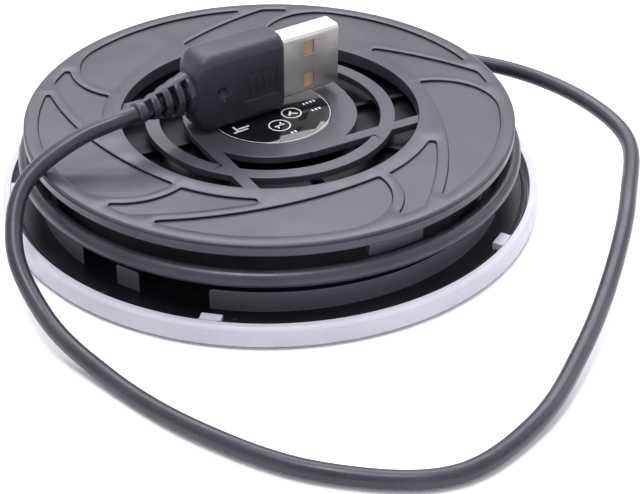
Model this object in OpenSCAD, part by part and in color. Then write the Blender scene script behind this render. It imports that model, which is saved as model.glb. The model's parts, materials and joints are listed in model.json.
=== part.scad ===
// Round four-port USB hub with a built-in cord spool.
// It lies on its port face: the spool flange, with its swirl of shallow pockets and an open
// grille, is on top. The cord is wound once round the spool, leaves it as a loose loop and
// comes back over the rim, so that the plug stands on edge on the grille.
// Units are millimetres. The origin is the centre of the port face, and +Z points up.

/* [Spool flange] */
// Radius of the flange
flange_r = 44.5; // [44:0.1:45]
// Height of the flange's upper face above the rest plane
flange_top = 17.4; // [17.2:0.1:17.8]
// Thickness of the flange rim
flange_t = 2.5; // [2.3:0.1:2.6]
// Chamfer round the rim's two edges
rim_chamfer = 0.35; // [0.2:0.05:0.5]
// Number of times the pocket pattern repeats
pocket_n = 5; // [3:1:6]
// Depth of the shallow pockets
pocket_depth = 0.45; // [0.2:0.05:0.8]
// Inner radius of the band of pockets
pocket_r_in = 30.3; // [30:0.1:31]
// Outer radius of the band of pockets
pocket_r_out = 41.8; // [41:0.1:42]
// Radius of the long edge of a large pocket
sweep_r = 70.3; // [70:0.1:71]
// X of that edge's centre, for the pocket that starts on +X
sweep_x = -39.0; // [-39.5:0.1:-38.5]
// Y of that edge's centre
sweep_y = -10.7; // [-11:0.1:-10.4]
// Radius of the round leading end of a large pocket
lead_r = 10.75; // [10:0.05:11]
// Width of the rib left between two pockets
pocket_rib = 2.0; // [1.5:0.1:2.5]

/* [Grille] */
// Radius of the open grille
grille_r = 27.1; // [26.5:0.1:27.5]
// How far the grille lies below the flange face
grille_drop = 0.6; // [0.4:0.1:0.8]
// Thickness of the grille bars
grille_t = 1.35; // [1.2:0.05:1.5]
// Radius of the centre plate
plate_r = 15.9; // [15.5:0.1:16.2]
// Inner radius of the ring bar
bar_r_in = 20.1; // [19.5:0.1:20.5]
// Outer radius of the ring bar
bar_r_out = 22.8; // [22:0.1:23.5]
// Distance of a spoke's centre line from the hub's axis
spoke_offset = 14.9; // [14.5:0.1:15.2]
// Width of a spoke
spoke_w = 2.4; // [2:0.1:3]
// Direction of the first spoke in degrees
spoke_angle = 27.5; // [0:0.5:90]
// Number of spokes
spoke_n = 4; // [3:1:5]
// Radius of the rating label
label_r = 11.4; // [10:0.1:12]

/* [Spool shell] */
// Outer radius of the drum that the cord is wound on
drum_r = 42.7; // [42.5:0.1:42.8]
// Thickness of the drum wall
drum_t = 1.4; // [1.2:0.1:1.6]
// Height of the lower drum wall's top edge
drum_top = 6.9; // [6:0.1:7.5]
// Outer radius of the ledge below the drum
ledge_r = 47.6; // [47:0.1:47.6]
// Height of the ledge's upper face
ledge_top = 3.0; // [2.9:0.1:3.1]
// Outer radius of the tub inside the drum
tub_r = 39.6; // [39.4:0.1:39.8]
// Thickness of the tub wall
tub_t = 1.2; // [1:0.1:1.3]
// Height of the floor's upper face, seen through the grille
floor_top = 13.4; // [13.3:0.1:13.5]
// Number of ribs on the floor
floor_rib_n = 8; // [4:1:12]

/* [Trim ring and port cover] */
// Outer radius of the trim ring
ring_r = 49.5; // [49:0.1:50]
// Thickness of the trim ring
ring_t = 1.6; // [1.4:0.1:1.8]
// Height of the trim ring's lower edge
ring_bottom = 0.4; // [0.2:0.1:0.6]
// Height of the trim ring's upper edge
ring_top = 4.4; // [4.2:0.1:4.6]
// Angle of the first locating tab on the trim ring
tab_angle = 257.4; // [250:0.1:265]
// Width of a locating tab
tab_w = 3.7; // [3:0.1:4]
// Thickness of the port cover
cover_t = 1.5; // [1.3:0.1:1.5]
// Radius of the port cover
cover_r = 47.4; // [47:0.1:47.6]

/* [Circuit board and ports] */
// Radius of the circuit board
pcb_r = 33.8; // [33:0.1:34]
// Thickness of the circuit board
pcb_t = 1.6; // [1.4:0.1:1.6]
// Height of the board's lower face, where the ports are soldered
pcb_bottom = 9.9; // [9.8:0.1:10]
// Number of ports
port_n = 4; // [1:1:4]
// Distance of each port's centre from the hub's axis
port_r = 17; // [16:0.1:18]
// Width of a port's metal shell
port_w = 13.2; // [13:0.1:13.3]
// Thickness of a port's metal shell, wall to wall
port_h = 5.8; // [5.6:0.1:5.9]

/* [Cord] */
// Radius of the cord
cord_r = 1.5; // [1.4:0.05:1.5]
// Radius of the wound turn's centre line
wind_r = 44.4; // [44.3:0.1:44.6]
// Height of the wound turn's centre line
wind_z = 10.8; // [10.7:0.1:10.8]
// Angle where the cord leaves the groove
exit_angle = 66; // [60:1:70]
// Angle where the cord starts to turn in to the core
entry_angle = 18; // [17:1:19]
// Straight length from the groove to the first bend of the free cord
root_len = 13; // [12:0.5:14]
// Straight length between the free cord's two bends
lead_len = 14; // [12:0.5:15]

/* [Plug] */
// X of the plug body's front face, on the plug's axis
plug_x = 1.5; // [1:0.1:2]
// Y of the plug body's front face
plug_y = 4.0; // [3.5:0.1:4.5]
// Direction that the plug points to, in degrees
plug_yaw = 32; // [28:1:36]
// Length of the plug body
plug_l = 19; // [18.5:0.1:19.5]
// Thickness of the plug body between its broad faces
plug_t = 7.6; // [7.4:0.1:7.8]
// Width of the plug body, which is its height where it stands on the grille
plug_w = 15.1; // [15:0.1:15.2]
// Length of the bare metal shell
plug_reach = 11.8; // [11.5:0.1:12]
// X of the strain relief's free end, where the cord goes in
boot_end_x = -23.3; // [-23.6:0.1:-23]
// Y of the strain relief's free end
boot_end_y = -12.9; // [-13.2:0.1:-12.6]
// Height of the strain relief's free end
boot_end_z = 24.1; // [24:0.1:24.3]

/* [Hidden] */
$fn = 128;

black_plastic = [0.27, 0.27, 0.30];
ring_plastic = [0.86, 0.85, 0.92];
cord_grey = [0.24, 0.24, 0.27];
nickel = [0.78, 0.76, 0.73];
gold = [0.85, 0.68, 0.32];
steel = [0.62, 0.62, 0.64];

// Overlap of a cut past the face it starts from, and the gap between parts that touch.
cut = 0.5;
fit_gap = 0.05;
sweep_c = [sweep_x, sweep_y];
flange_bottom = flange_top - flange_t;
grille_top = flange_top - grille_drop;
grille_bottom = grille_top - grille_t;
floor_t = 1.0;
floor_bottom = floor_top - floor_t;
ledge_bottom = ledge_top - 1.0;
tub_r_in = tub_r - tub_t;
pcb_top = pcb_bottom + pcb_t;

// The drum wall is broken by gaps: plain wall, then a short snap tab between two gaps.
drum_repeat = 3;
drum_wall_span = [255.7, 340.6];
snap_tab_span = [231.9, 238.4];
// Short walls that hang from the flange, above the wound cord.
hang_spans = [[292, 306.4], [327.2, 329.2]];
hang_bottom = 11.6;
// Opening in the tub wall for the cord's inner end.
entry_span = [28, 45];
entry_bottom = 8.6;
// A round ejector mark and a fine raised line on the ledge.
mark_at = polar(44.8, 230);
mark_r = 2.1;
mark_h = 0.15;
edge_line_r = 46.6;
edge_line_w = 0.3;
edge_line_h = 0.25;
// Radial ribs on the floor below the grille.
floor_rib = [grille_r - plate_r + 3, 1.2, 1.1];
floor_rib_angle = 23;
// Notches in the ledge for the trim ring's tabs.
tab_depth = 1.8;
tab_gap = 0.2;
tab_drop = 0.1;

screw_r = 0.98;
screw_hole_r = 1.0;
screw_head_r = 1.7;
screw_head_h = 1.2;
boss_r = 2.3;
flange_screw_circle = 35.9;
flange_screw_angle = 0;
flange_screw_n = 5;
flange_screw_top = flange_bottom + 1.0;
board_screw_circle = 31;
board_screw_angle = 10;
board_screw_n = 4;
board_screw_top = floor_top + 0.8;
board_post_top = floor_top + 1.2;

// Power light and the clear rod that shows it in the port face.
led_at = polar(15, 225);
led_size = [3.2, 1.6, 1.1];
light_pipe_r = 1.5;

// Each port, with its tongue along the middle and four contacts on the tongue.
port_wall = 0.3;
port_mouth_z = 0.35;
port_clearance = 0.4;
tongue = [1.84, 11.1, 6.0];
tongue_at = [-1.9, -tongue[1] / 2, 2.5];
port_block = [5.0, 12.4, 1.4];
port_pin = [0.2, 1.0, 5.4];
port_pin_z = 3.0;
pin_rows = [-3.5, -1, 1, 3.5];

// Parts on the lower face of the board.
board_notch = [8, 17.0];
chip_at = [-18, 18];
chip_size = [7, 7, 0.9];
chip_lead = [1.1, 0.3, 0.2];
chip_pitch = 0.7;
crystal_at = [-22, -15];
crystal_size = [4.5, 10, 3.4];
can_places = [[13, -25], [19.5, -20]];
can_r = 2.5;
can_h = 4.6;
can_foot = [5.2, 5.2, 0.8];
header_at = [8.2, 9.5];
header_size = [8, 4.5, 4.5];
header_wall = 0.7;
lead_r_wire = 0.32;
lead_pitch = 0.72;

function unit(v) = v / norm(v);
function polar(r, a, z = 0) = [r * cos(a), r * sin(a), z];

// Cord route inside the core: one arc inward, then a short straight run under the clamp.
entry_bend_r = 14;
entry_bend_sweep = 80;
entry_centre = polar(wind_r - entry_bend_r, entry_angle, wind_z);
entry_stop = entry_centre + polar(entry_bend_r, entry_angle + entry_bend_sweep);
inner_dir = polar(1, entry_angle + entry_bend_sweep + 90);
inner_len = 8;
inner_end = entry_stop + inner_len * inner_dir;
clamp_at = entry_stop + inner_len / 2 * inner_dir;
clamp_size = [4, 11, 1.4];
clamp_half_span = 3.9;
clamp_boss_r = 1.55;
clamp_hole_r = 0.8;
clamp_screw_r = 0.78;

// Cord route outside: straight off the groove, then two bends that share the cord's freedom.
exit_point = polar(wind_r, exit_angle, wind_z);
exit_dir = polar(1, exit_angle - 90);
root_r = cord_r - 0.02;
root_overlap = 0.3;
swing_point = exit_point + root_len * exit_dir;
lift_point = swing_point + lead_len * exit_dir;
bend_room_r = 1.8;

plug_axis = polar(1, plug_yaw);
plug_z = grille_top + fit_gap + plug_w / 2;
plug_origin = [plug_x, plug_y, plug_z];
flex_point = plug_origin - plug_l * plug_axis;
boot_end = [boot_end_x, boot_end_y, boot_end_z];
boot_ball_r = 3.0;
boot_socket_r = boot_ball_r + fit_gap;
boot_dir = unit(flex_point - boot_end);
boot_slot_n = 3;
boot_slot_pitch = 2.4;
boot_slot_first = 3.7;
boot_slot = [1.1, 2.2, 2.6];
// Metal shell of the plug, the holes in it, the insulator and the contacts on the insulator.
shell_size = [4.5, 12];
shell_wall = 0.3;
shell_sunk = 6;
shell_hole = [2.1, 3.1];
shell_hole_x = 5.35;
shell_hole_z = 3.3;
insulator = [15.4, 1.9, 11.0];
insulator_x = -5.9;
contact_t = 0.15;
contact_w = 1.0;
contact_l = [7.4, 6.4, 6.4, 7.4];

// Places that the loose loop passes through, from the spool's edge to the strain relief.
table_z = cord_r + 0.2;
loop_points = [
  lift_point, [57.8, 17.6, wind_z], [65.8, 1.0, 10.5], [63.0, -18.5, 9.6],
  [57.6, -36.6, 7.3], [49.5, -55.5, 4.1], [40.0, -71.3, 2.1], [27.2, -82.3, table_z],
  [6.6, -81.3, table_z], [-11.4, -71.6, table_z], [-26.5, -57.8, 1.9], [-37.2, -45.7, 5.0],
  [-42.9, -34.2, 11.4], [-41.8, -24.2, 17.0], [-33.7, -17.6, 21.6], boot_end
];
loop_last = len(loop_points) - 1;
loop_steps = 6;
cord_sides = 14;

// Direction of a smooth curve through point i, weighted by the distances to its neighbours.
function chord(i) = norm(loop_points[i + 1] - loop_points[i]);
function secant(i) = (loop_points[i + 1] - loop_points[i]) / chord(i);
function heading(i) =
  i == 0 ? exit_dir :
  i == loop_last ? boot_dir :
  (secant(i - 1) * chord(i) + secant(i) * chord(i - 1)) / (chord(i - 1) + chord(i));
function hermite(p, q, u, v, t) =
  p * (2 * pow(t, 3) - 3 * pow(t, 2) + 1) + u * (pow(t, 3) - 2 * pow(t, 2) + t) +
  q * (3 * pow(t, 2) - 2 * pow(t, 3)) + v * (pow(t, 3) - pow(t, 2));
loop_path = [
  for (i = [0 : loop_last - 1], k = [0 : loop_steps - 1])
    hermite(loop_points[i], loop_points[i + 1], heading(i) * chord(i), heading(i + 1) * chord(i),
            k / loop_steps),
  boot_end - fit_gap * boot_dir
];

// ---- shared shapes ----

// Round tube between two heights.
module tube(r_out, r_in, z0, z1) {
  translate([0, 0, z0])
    difference() {
      cylinder(h = z1 - z0, r = r_out);
      translate([0, 0, -cut]) cylinder(h = z1 - z0 + 2 * cut, r = r_in);
    }
}

// Part of a round wall between two angles.
module arc_wall(r_out, r_in, z0, z1, span) {
  rotate([0, 0, span[0]])
    rotate_extrude(angle = span[1] - span[0])
      translate([r_in, z0])
        square([r_out - r_in, z1 - z0]);
}

// Repeats its children round the hub's axis.
module around(n, first = 0) {
  for (i = [0 : n - 1])
    rotate([0, 0, first + i * 360 / n])
      children();
}

// Straight round rod between two points.
module rod(p, q, r1, r2) {
  d = q - p;
  translate(p)
    rotate([0, acos(d[2] / norm(d)), atan2(d[1], d[0])])
      cylinder(h = norm(d), r1 = r1, r2 = r2);
}

// Rectangle about the origin with round corners.
module round_rect(w, h, r) {
  square([w - 2 * r, h], center = true);
  square([w, h - 2 * r], center = true);
  for (x = [-1, 1], y = [-1, 1])
    translate([x * (w / 2 - r), y * (h / 2 - r)])
      circle(r = r, $fn = 48);
}

// Pan-head screw that points up, with its shank's foot at the origin.
module pan_screw(shank_r, shank_h, head_r, head_h) {
  difference() {
    union() {
      cylinder(h = shank_h, r = shank_r);
      translate([0, 0, -head_h]) cylinder(h = head_h, r = head_r);
    }
    for (a = [0, 90])
      rotate([0, 0, a])
        translate([-head_r * 0.6, -head_r * 0.12, -head_h - cut])
          cube([head_r * 1.2, head_r * 0.24, cut + head_h * 0.45]);
  }
}

// Closed tube with a varying radius along a path that is never vertical.
module sweep_tube(path, radii, headings, sides) {
  last = len(path) - 1;
  ring = [
    for (i = [0 : last])
      let (side = unit(cross(headings[i], [0, 0, 1])), up = cross(side, headings[i]))
        for (k = [0 : sides - 1])
          path[i] + radii[i] * (cos(k * 360 / sides) * side + sin(k * 360 / sides) * up)
  ];
  walls = [
    for (i = [0 : last - 1], k = [0 : sides - 1])
      let (a = i * sides + k, b = i * sides + (k + 1) % sides)
        each [[a, b, a + sides], [b, b + sides, a + sides]]
  ];
  foot = [[for (k = [sides - 1 : -1 : 0]) k]];
  head = [[for (k = [0 : sides - 1]) last * sides + k]];
  polyhedron(points = ring, faces = concat(foot, walls, head), convexity = 6);
}

// Unit directions along a path of points.
function path_headings(path) = [
  for (i = [0 : len(path) - 1])
    unit(path[min(i + 1, len(path) - 1)] - path[max(i - 1, 0)])
];

// ---- spool flange ----

// Outline of one large pocket, grown by a margin.
module large_pocket_2d(grow) {
  difference() {
    union() {
      intersection() {
        circle(r = pocket_r_out + grow);
        translate([0, -flange_r]) square([flange_r, flange_r]);
      }
      translate([pocket_r_out - lead_r, 0]) circle(r = lead_r + grow);
    }
    translate(sweep_c) circle(r = sweep_r - grow, $fn = 256);
  }
}

// Outlines of the small pockets that fill the band between the large ones.
module small_pockets_2d() {
  difference() {
    circle(r = pocket_r_out);
    circle(r = pocket_r_in);
    around(pocket_n) large_pocket_2d(pocket_rib);
  }
}

// Outline of the centre plate, the ring bar and the spokes.
module grille_2d() {
  circle(r = plate_r);
  difference() {
    circle(r = bar_r_out);
    circle(r = bar_r_in);
  }
  intersection() {
    circle(r = grille_r + cut);
    around(spoke_n, spoke_angle)
      translate([0, -spoke_offset - spoke_w / 2])
        square([grille_r, spoke_w]);
  }
}

module flange_body() {
  rotate_extrude()
    polygon([
      [grille_r, flange_bottom], [flange_r - rim_chamfer, flange_bottom],
      [flange_r, flange_bottom + rim_chamfer], [flange_r, flange_top - rim_chamfer],
      [flange_r - rim_chamfer, flange_top], [grille_r, flange_top]
    ]);
}

module base_flange() {
  color(black_plastic)
    difference() {
      union() {
        difference() {
          flange_body();
          translate([0, 0, flange_top - pocket_depth])
            linear_extrude(pocket_depth + cut) {
              around(pocket_n) large_pocket_2d(0);
              small_pockets_2d();
            }
        }
        translate([0, 0, grille_bottom]) linear_extrude(grille_t) grille_2d();
        around(drum_repeat)
          for (span = hang_spans)
            arc_wall(drum_r, drum_r - drum_t, hang_bottom, flange_bottom + cut, span);
        around(flange_screw_n, flange_screw_angle)
          translate([flange_screw_circle, 0, floor_top])
            cylinder(h = flange_bottom - floor_top + cut, r = boss_r);
      }
      around(flange_screw_n, flange_screw_angle)
        translate([flange_screw_circle, 0, floor_top - cut])
          cylinder(h = flange_screw_top - floor_top + cut, r = screw_hole_r);
      translate([0, 0, grille_top - 0.1]) cylinder(h = cut, r = label_r + fit_gap);
    }
}

module rating_label() {
  color([0.05, 0.05, 0.06])
    translate([0, 0, grille_top - 0.1])
      cylinder(h = 0.13, r = label_r);
}

// ---- spool shell ----

module floor_ribs() {
  around(floor_rib_n, floor_rib_angle)
    translate([plate_r, -floor_rib[1] / 2, floor_top - cut])
      cube(floor_rib + [0, 0, cut]);
}

module ledge_marks() {
  translate(mark_at + [0, 0, ledge_top - cut]) cylinder(h = cut + mark_h, r = mark_r);
  tube(edge_line_r + edge_line_w, edge_line_r, ledge_top - cut, ledge_top + edge_line_h);
}

module spool_shell() {
  color(black_plastic)
    difference() {
      union() {
        tube(ledge_r, tub_r_in, ledge_bottom, ledge_top);
        tube(tub_r, tub_r_in, ledge_bottom, floor_bottom + cut);
        translate([0, 0, floor_bottom]) cylinder(h = floor_t, r = tub_r);
        around(drum_repeat) {
          arc_wall(drum_r, drum_r - drum_t, ledge_top - cut, drum_top, drum_wall_span);
          arc_wall(drum_r, drum_r - drum_t, ledge_top - cut, drum_top, snap_tab_span);
        }
        ledge_marks();
        floor_ribs();
        around(board_screw_n, board_screw_angle)
          translate([board_screw_circle, 0, pcb_top])
            cylinder(h = board_post_top - pcb_top, r = boss_r);
        clamp_bosses();
      }
      around(board_screw_n, board_screw_angle)
        translate([board_screw_circle, 0, pcb_top - cut])
          cylinder(h = board_screw_top - pcb_top + cut, r = screw_hole_r);
      around(flange_screw_n, flange_screw_angle)
        translate([flange_screw_circle, 0, floor_bottom - cut])
          cylinder(h = floor_t + 2 * cut, r = screw_hole_r);
      around(pocket_n, tab_angle)
        translate([ledge_r - tab_depth - 0.3, -tab_w / 2 - tab_gap, ledge_bottom - cut])
          cube([tab_w, tab_w + 2 * tab_gap, 2]);
      arc_wall(tub_r + cut, tub_r_in - cut, entry_bottom, floor_bottom, entry_span);
      clamp_holes();
    }
}

// Children placed on both sides of the cord under the clamp, turned to the cord's direction.
module at_clamp(z) {
  translate([clamp_at[0], clamp_at[1], z])
    rotate([0, 0, entry_angle + entry_bend_sweep + 90])
      for (side = [-1, 1])
        translate([0, side * clamp_half_span, 0])
          children();
}

module clamp_bosses() {
  at_clamp(wind_z - cord_r)
    cylinder(h = floor_bottom - wind_z + cord_r + cut, r = clamp_boss_r);
}

module clamp_holes() {
  at_clamp(wind_z - cord_r - cut)
    cylinder(h = floor_bottom - wind_z + cord_r + cut, r = clamp_hole_r);
}

// ---- trim ring and port cover ----

module trim_ring() {
  color(ring_plastic) {
    rotate_extrude()
      polygon([
        [ring_r - ring_t, ring_bottom], [ring_r - 0.4, ring_bottom],
        [ring_r, ring_bottom + 0.4], [ring_r, ring_top - 0.5],
        [ring_r - 0.5, ring_top], [ring_r - ring_t, ring_top],
        [ring_r - ring_t, ledge_bottom - 0.1], [cover_r - 2, ledge_bottom - 0.1],
        [cover_r - 2, cover_t + 0.1], [ring_r - ring_t, cover_t + 0.1]
      ]);
    around(pocket_n, tab_angle)
      translate([ledge_r - tab_depth, -tab_w / 2, ledge_bottom - tab_gap])
        cube([ring_r - ring_t - ledge_r + tab_depth + cut, tab_w, ring_top - ledge_bottom + tab_drop]);
  }
}

module port_cover() {
  lip_r = tub_r_in - 0.3;
  color(black_plastic)
    difference() {
      union() {
        cylinder(h = cover_t, r = cover_r);
        tube(lip_r, lip_r - 1.2, cover_t - cut, cover_t + 4);
        tube(lip_r + 0.2, lip_r - 0.4, cover_t + 2.6, cover_t + 3.4);
      }
      at_ports(-cut)
        linear_extrude(cover_t + 2 * cut)
          round_rect(port_h + port_clearance, port_w + port_clearance, 0.5);
      translate(led_at - [0, 0, cut]) cylinder(h = cover_t + 2 * cut, r = light_pipe_r + fit_gap);
    }
}

// ---- circuit board and what is soldered to it ----

module at_ports(z) {
  around(port_n)
    translate([port_r, 0, z])
      children();
}

module circuit_board() {
  color([0.05, 0.32, 0.16])
    difference() {
      translate([0, 0, pcb_bottom]) cylinder(h = pcb_t, r = pcb_r);
      around(board_screw_n, board_screw_angle)
        translate([board_screw_circle, 0, pcb_bottom - cut])
          cylinder(h = pcb_t + 2 * cut, r = 1.2);
      translate([board_notch[0], board_notch[1], pcb_bottom - cut])
        cube([pcb_r, pcb_r, pcb_t + 2 * cut]);
    }
}

module port_shells() {
  color(nickel)
    at_ports(port_mouth_z)
      linear_extrude(pcb_bottom - port_mouth_z)
        difference() {
          round_rect(port_h, port_w, 0.6);
          round_rect(port_h - 2 * port_wall, port_w - 2 * port_wall, 0.35);
        }
}

module port_tongues() {
  color([0.92, 0.92, 0.90])
    at_ports(0) {
      translate(tongue_at) cube(tongue);
      translate([-port_block[0] / 2, -port_block[1] / 2, tongue_at[2] + tongue[2] - 0.1])
        cube(port_block);
    }
}

module port_contacts() {
  color(gold)
    at_ports(0)
      for (y = pin_rows)
        translate([tongue_at[0] + tongue[0], y - port_pin[1] / 2, port_pin_z])
          cube(port_pin);
}

module hub_chip() {
  color([0.08, 0.08, 0.09])
    translate([chip_at[0] - chip_size[0] / 2, chip_at[1] - chip_size[1] / 2, pcb_bottom - 1.0])
      cube(chip_size);
  color(steel)
    translate([chip_at[0], chip_at[1], pcb_bottom - chip_lead[2] - 0.02])
      for (a = [0 : 90 : 270], k = [-4 : 4])
        rotate([0, 0, a])
          translate([chip_size[0] / 2 - 0.1, k * chip_pitch - chip_lead[1] / 2, 0])
            cube(chip_lead);
}

module crystal() {
  color(steel)
    translate([crystal_at[0], crystal_at[1], pcb_bottom - crystal_size[2]])
      linear_extrude(crystal_size[2])
        round_rect(crystal_size[0], crystal_size[1], 2.2);
}

module capacitors() {
  for (at = can_places)
    translate([at[0], at[1], pcb_bottom - can_h - can_foot[2]]) {
      color(steel) cylinder(h = can_h, r = can_r);
      color([0.1, 0.1, 0.1])
        translate([-can_foot[0] / 2, -can_foot[1] / 2, can_h])
          cube(can_foot);
    }
}

module power_led() {
  color([0.95, 0.95, 0.85])
    translate(led_at + [-led_size[0] / 2, -led_size[1] / 2, pcb_bottom - led_size[2]])
      cube(led_size);
}

module light_pipe() {
  color([0.9, 0.95, 1.0])
    translate(led_at + [0, 0, 0.2]) {
      cylinder(h = pcb_bottom - led_size[2] - 0.4, r = light_pipe_r);
      translate([0, 0, cover_t]) cylinder(h = 1, r = light_pipe_r + 0.8);
    }
}

module wire_header() {
  color([0.9, 0.88, 0.82])
    difference() {
      translate([header_at[0], header_at[1], pcb_bottom - header_size[2]]) cube(header_size);
      translate([header_at[0] + header_wall, header_at[1] + 2, pcb_bottom - header_size[2] + 0.5])
        cube([header_size[0] - 2 * header_wall, 3, header_size[2] - 1.3]);
    }
}

module wire_leads() {
  colours = ["black", "green", "white", "red"];
  across = polar(1, entry_angle + entry_bend_sweep);
  for (k = [0 : 3]) {
    start = inner_end + 0.02 * inner_dir + lead_pitch * (k - 1.5) * across;
    stop = [header_at[0] + 6.4 - 1.6 * k, header_at[1] + 2.7, pcb_bottom - 2.4];
    path = [
      for (t = [0 : 0.1 : 1])
        hermite(start, stop, (6 + 3 * k) * inner_dir, [0, -12, -1], t)
    ];
    color(colours[k])
      sweep_tube(path, [for (p = path) lead_r_wire], path_headings(path), 8);
  }
}

// ---- fasteners ----

module flange_screws() {
  color(steel)
    around(flange_screw_n, flange_screw_angle)
      translate([flange_screw_circle, 0, floor_bottom])
        pan_screw(screw_r, flange_screw_top - floor_bottom - 0.2, screw_head_r, screw_head_h);
}

module board_screws() {
  color(steel)
    around(board_screw_n, board_screw_angle)
      translate([board_screw_circle, 0, pcb_bottom])
        pan_screw(screw_r, board_screw_top - pcb_bottom - 0.2, screw_head_r, screw_head_h);
}

module clamp_screws() {
  color(steel)
    at_clamp(wind_z - cord_r - fit_gap - clamp_size[2])
      pan_screw(clamp_screw_r, 4.0, clamp_boss_r - 0.15, 0.9);
}

// ---- cord ----

module cord_arc(centre, r, span, tube_r) {
  translate(centre)
    rotate([0, 0, span[0]])
      rotate_extrude(angle = span[1] - span[0])
        translate([r, 0])
          circle(r = tube_r, $fn = 48);
}

module cord_grommet() {
  color([0.1, 0.1, 0.11])
    difference() {
      union() {
        arc_wall(tub_r - 0.05, tub_r_in + 0.05, entry_bottom + fit_gap, floor_bottom - fit_gap,
                 entry_span + [0.3, -0.3]);
        arc_wall(tub_r_in - 0.05, tub_r_in - 0.8, entry_bottom - 0.8, floor_bottom - fit_gap,
                 entry_span + [-1.5, 1.5]);
        arc_wall(tub_r_in + 0.1, tub_r_in - 0.1, entry_bottom + fit_gap,
                 floor_bottom - fit_gap, entry_span + [0.3, -0.3]);
      }
      cord_arc(entry_centre, entry_bend_r, [entry_angle, entry_angle + 100], cord_r + fit_gap);
    }
}

module cord_clamp() {
  color(steel)
    difference() {
      translate([clamp_at[0], clamp_at[1], wind_z - cord_r - fit_gap - clamp_size[2] / 2])
        rotate([0, 0, entry_angle + entry_bend_sweep + 90])
          cube(clamp_size, center = true);
      at_clamp(wind_z - cord_r - clamp_size[2] - cut)
        cylinder(h = clamp_size[2] + 2 * cut, r = clamp_hole_r + 0.1);
    }
}

module wound_cord() {
  color(cord_grey)
    difference() {
      union() {
        cord_arc([0, 0, wind_z], wind_r, [exit_angle, 360 + entry_angle], cord_r);
        rod(exit_point - root_overlap * exit_dir, swing_point, root_r, root_r, $fn = 48);
      }
      translate(swing_point) sphere(r = bend_room_r, $fn = 48);
    }
}

// The cord's inner end, from the groove through the grommet to the clamp.
module cord_tail() {
  path = concat(
    [entry_centre + polar(entry_bend_r, entry_angle) + fit_gap * polar(1, entry_angle + 90)],
    [for (a = [8 : 8 : entry_bend_sweep]) entry_centre + polar(entry_bend_r, entry_angle + a)],
    [inner_end]
  );
  inner = path_headings(path);
  headings = [for (i = [0 : len(path) - 1]) i == 0 ? polar(1, entry_angle + 90) : inner[i]];
  color(cord_grey) sweep_tube(path, [for (p = path) cord_r], headings, 16);
}

module cord_lead() {
  color(cord_grey)
    difference() {
      union() {
        translate(swing_point) sphere(r = cord_r, $fn = 48);
        rod(swing_point, lift_point, cord_r, cord_r, $fn = 48);
      }
      translate(lift_point) sphere(r = bend_room_r, $fn = 48);
    }
}

// The loop starts with a round end, so that it can turn in the hollow of the lead.
module loose_cord() {
  cap = [for (a = [80, 60, 40, 20]) a];
  path = concat([for (a = cap) lift_point - cord_r * sin(a) * exit_dir], loop_path);
  radii = concat([for (a = cap) cord_r * cos(a)], [for (p = loop_path) cord_r]);
  inner = path_headings(loop_path);
  last = len(loop_path) - 1;
  headings = concat([for (a = cap) exit_dir], [for (i = [0 : last]) i == last ? boot_dir : inner[i]]);
  color(cord_grey) sweep_tube(path, radii, headings, cord_sides);
}

module cord_boot() {
  color(cord_grey)
    difference() {
      union() {
        translate(flex_point) sphere(r = boot_ball_r, $fn = 48);
        rod(flex_point, boot_end, 2.7, 1.95, $fn = 48);
      }
      for (k = [0 : boot_slot_n - 1], side = [-1, 1])
        translate(flex_point - (boot_slot_first + k * boot_slot_pitch) * boot_dir)
          rotate([0, 0, atan2(boot_dir[1], boot_dir[0])])
            translate([0, side * 2.7, 0] - boot_slot / 2)
              cube(boot_slot);
    }
}

// ---- plug, drawn along +X from the front face of its body, broad faces to -Y and +Y ----

module at_plug() {
  translate(plug_origin)
    rotate([0, 0, plug_yaw])
      children();
}

// Rectangle from x = -length to x = 0 with its own corner radius at each end.
module body_outline(length, width, rear_r, front_r) {
  translate([-length + rear_r, -width / 2]) square([length - rear_r - front_r, width]);
  translate([-length, -width / 2 + rear_r]) square([rear_r, width - 2 * rear_r]);
  translate([-front_r, -width / 2 + front_r]) square([front_r, width - 2 * front_r]);
  for (side = [-1, 1]) {
    translate([-length + rear_r, side * (width / 2 - rear_r)]) circle(r = rear_r, $fn = 64);
    translate([-front_r, side * (width / 2 - front_r)]) circle(r = front_r, $fn = 64);
  }
}

module plug_overmold() {
  pocket = [shell_sunk + 0.1, shell_size[0] + 0.04, shell_size[1] + 0.04];
  color([0.15, 0.15, 0.17])
    at_plug()
      difference() {
        intersection() {
          rotate([90, 0, 0])
            linear_extrude(plug_t, center = true)
              body_outline(plug_l, plug_w, 4.2, 1.2);
          linear_extrude(plug_w, center = true)
            body_outline(plug_l, plug_t, 1.6, 0.9);
        }
        translate([-pocket[0], -pocket[1] / 2, -pocket[2] / 2])
          cube(pocket + [cut, 0, 0]);
        translate([-plug_l, 0, 0])
          rotate([0, 90, 0])
            sphere(r = boot_socket_r, $fn = 64);
      }
}

module plug_shell() {
  color(nickel)
    at_plug()
      difference() {
        translate([-shell_sunk, 0, 0])
          rotate([90, 0, 90])
            linear_extrude(plug_reach + shell_sunk)
              difference() {
                round_rect(shell_size[0], shell_size[1], 0.5);
                round_rect(shell_size[0] - 2 * shell_wall, shell_size[1] - 2 * shell_wall, 0.25);
              }
        for (z = [-shell_hole_z, shell_hole_z])
          translate([shell_hole_x - shell_hole[0] / 2, -shell_size[0], z - shell_hole[1] / 2])
            cube([shell_hole[0], 2 * shell_size[0], shell_hole[1]]);
      }
}

module plug_insulator() {
  color([0.80, 0.62, 0.42])
    at_plug()
      translate([insulator_x, 0.02 + shell_wall - shell_size[0] / 2, -insulator[2] / 2])
        cube(insulator);
}

module plug_contacts() {
  color(gold)
    at_plug()
      for (k = [0 : 3])
        translate([9 - contact_l[k], 0.03 + shell_wall - shell_size[0] / 2 + insulator[1],
                   pin_rows[k] - contact_w / 2])
          cube([contact_l[k], contact_t, contact_w]);
}

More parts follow.
